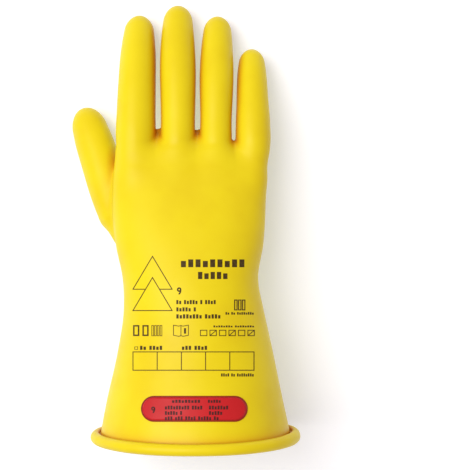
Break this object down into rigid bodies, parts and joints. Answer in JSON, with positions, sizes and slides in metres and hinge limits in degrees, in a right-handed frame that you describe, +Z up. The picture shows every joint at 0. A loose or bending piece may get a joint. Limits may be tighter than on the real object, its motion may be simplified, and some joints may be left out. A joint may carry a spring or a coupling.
{
  "type": "insulating rubber glove",
  "caption": "Yellow rubber insulating glove for the right hand, with a flared cuff, a rolled bead and a red class label; the wrist, the fingers and the thumb bend.",
  "frame": {"origin": "on the surface that the glove lies on, under the middle of its bounding box", "axes": "+Z up from the back of the hand, +Y from the cuff to the finger tips, +X to the little finger's side"},
  "size_m": [0.1453, 0.2743, 0.1111],
  "materials": {
    "yellow_rubber": "satin",
    "red_label_rubber": "satin"
  },
  "bodies": {
    "gauntlet_body": {"gauntlet": "yellow_rubber", "cuff_bead": "yellow_rubber", "class_label": "red_label_rubber", "wrist_flex": "yellow_rubber"},
    "palm_body": {"palm": "yellow_rubber", "index_knuckle_flex": "yellow_rubber", "middle_knuckle_flex": "yellow_rubber", "ring_knuckle_flex": "yellow_rubber", "little_knuckle_flex": "yellow_rubber", "thumb_base_flex": "yellow_rubber"},
    "index_base_body": {"index_base": "yellow_rubber", "index_mid_flex": "yellow_rubber"},
    "index_mid_body": {"index_mid": "yellow_rubber", "index_tip_flex": "yellow_rubber"},
    "index_tip_body": {"index_tip": "yellow_rubber"},
    "middle_base_body": {"middle_base": "yellow_rubber", "middle_mid_flex": "yellow_rubber"},
    "middle_mid_body": {"middle_mid": "yellow_rubber", "middle_tip_flex": "yellow_rubber"},
    "middle_tip_body": {"middle_tip": "yellow_rubber"},
    "ring_base_body": {"ring_base": "yellow_rubber", "ring_mid_flex": "yellow_rubber"},
    "ring_mid_body": {"ring_mid": "yellow_rubber", "ring_tip_flex": "yellow_rubber"},
    "ring_tip_body": {"ring_tip": "yellow_rubber"},
    "little_base_body": {"little_base": "yellow_rubber", "little_mid_flex": "yellow_rubber"},
    "little_mid_body": {"little_mid": "yellow_rubber", "little_tip_flex": "yellow_rubber"},
    "little_tip_body": {"little_tip": "yellow_rubber"},
    "thumb_base_body": {"thumb_base": "yellow_rubber", "thumb_tip_flex": "yellow_rubber"},
    "thumb_tip_body": {"thumb_tip": "yellow_rubber"}
  },
  "joints": [
    {"name": "wrist_bend", "type": "hinge", "parent": "gauntlet_body", "child": "palm_body", "pos_m": [0.0058, -0.0399, 0.05], "axis": [-1, 0, 0], "range_deg": [-25, 25], "stiffness_Nm_per_rad": 1.5, "deforming": ["wrist_flex"]},
    {"name": "index_knuckle_bend", "type": "hinge", "parent": "palm_body", "child": "index_base_body", "pos_m": [-0.03, 0.0601, 0.0342], "axis": [-1, 0, 0], "range_deg": [-5, 55], "stiffness_Nm_per_rad": 0.08, "deforming": ["index_knuckle_flex"]},
    {"name": "index_mid_bend", "type": "hinge", "parent": "index_base_body", "child": "index_mid_body", "pos_m": [-0.03, 0.08418, 0.02754], "axis": [-1, 0, 0], "range_deg": [-5, 65], "stiffness_Nm_per_rad": 0.05, "deforming": ["index_mid_flex"]},
    {"name": "index_tip_bend", "type": "hinge", "parent": "index_mid_body", "child": "index_tip_body", "pos_m": [-0.03, 0.10367, 0.01973], "axis": [-1, 0, 0], "range_deg": [-5, 50], "stiffness_Nm_per_rad": 0.03, "deforming": ["index_tip_flex"]},
    {"name": "middle_knuckle_bend", "type": "hinge", "parent": "palm_body", "child": "middle_base_body", "pos_m": [-0.0042, 0.0601, 0.0352], "axis": [-1, 0, 0], "range_deg": [-5, 55], "stiffness_Nm_per_rad": 0.08, "deforming": ["middle_knuckle_flex"]},
    {"name": "middle_mid_bend", "type": "hinge", "parent": "middle_base_body", "child": "middle_mid_body", "pos_m": [-0.0042, 0.08767, 0.02803], "axis": [-1, 0, 0], "range_deg": [-5, 65], "stiffness_Nm_per_rad": 0.05, "deforming": ["middle_mid_flex"]},
    {"name": "middle_tip_bend", "type": "hinge", "parent": "middle_mid_body", "child": "middle_tip_body", "pos_m": [-0.0042, 0.10958, 0.01958], "axis": [-1, 0, 0], "range_deg": [-5, 50], "stiffness_Nm_per_rad": 0.03, "deforming": ["middle_tip_flex"]},
    {"name": "ring_knuckle_bend", "type": "hinge", "parent": "palm_body", "child": "ring_base_body", "pos_m": [0.0203, 0.0596, 0.0348], "axis": [-1, 0.0087, 0], "range_deg": [-5, 55], "stiffness_Nm_per_rad": 0.08, "deforming": ["ring_knuckle_flex"]},
    {"name": "ring_mid_bend", "type": "hinge", "parent": "ring_base_body", "child": "ring_mid_body", "pos_m": [0.02052, 0.0846, 0.02775], "axis": [-1, 0.0087, 0], "range_deg": [-5, 65], "stiffness_Nm_per_rad": 0.05, "deforming": ["ring_mid_flex"]},
    {"name": "ring_tip_bend", "type": "hinge", "parent": "ring_mid_body", "child": "ring_tip_body", "pos_m": [0.02069, 0.10399, 0.0197], "axis": [-1, 0.0087, 0], "range_deg": [-5, 50], "stiffness_Nm_per_rad": 0.03, "deforming": ["ring_tip_flex"]},
    {"name": "little_knuckle_bend", "type": "hinge", "parent": "palm_body", "child": "little_base_body", "pos_m": [0.0435, 0.0546, 0.0334], "axis": [-1, 0, 0], "range_deg": [-5, 55], "stiffness_Nm_per_rad": 0.08, "deforming": ["little_knuckle_flex"]},
    {"name": "little_mid_bend", "type": "hinge", "parent": "little_base_body", "child": "little_mid_body", "pos_m": [0.0435, 0.07365, 0.02734], "axis": [-1, 0, 0], "range_deg": [-5, 65], "stiffness_Nm_per_rad": 0.05, "deforming": ["little_mid_flex"]},
    {"name": "little_tip_bend", "type": "hinge", "parent": "little_mid_body", "child": "little_tip_body", "pos_m": [0.0435, 0.08868, 0.02055], "axis": [-1, 0, 0], "range_deg": [-5, 50], "stiffness_Nm_per_rad": 0.03, "deforming": ["little_tip_flex"]},
    {"name": "thumb_base_bend", "type": "hinge", "parent": "palm_body", "child": "thumb_base_body", "pos_m": [-0.051, 0.0281, 0.0209], "axis": [-0.9292, -0.3606, -0.0813], "range_deg": [-5, 30], "stiffness_Nm_per_rad": 0.12, "deforming": ["thumb_base_flex"]},
    {"name": "thumb_tip_bend", "type": "hinge", "parent": "thumb_base_body", "child": "thumb_tip_body", "pos_m": [-0.05752, 0.04616, 0.01533], "axis": [-0.9292, -0.3606, -0.0813], "range_deg": [-5, 45], "stiffness_Nm_per_rad": 0.03, "deforming": ["thumb_tip_flex"]}
  ]
}
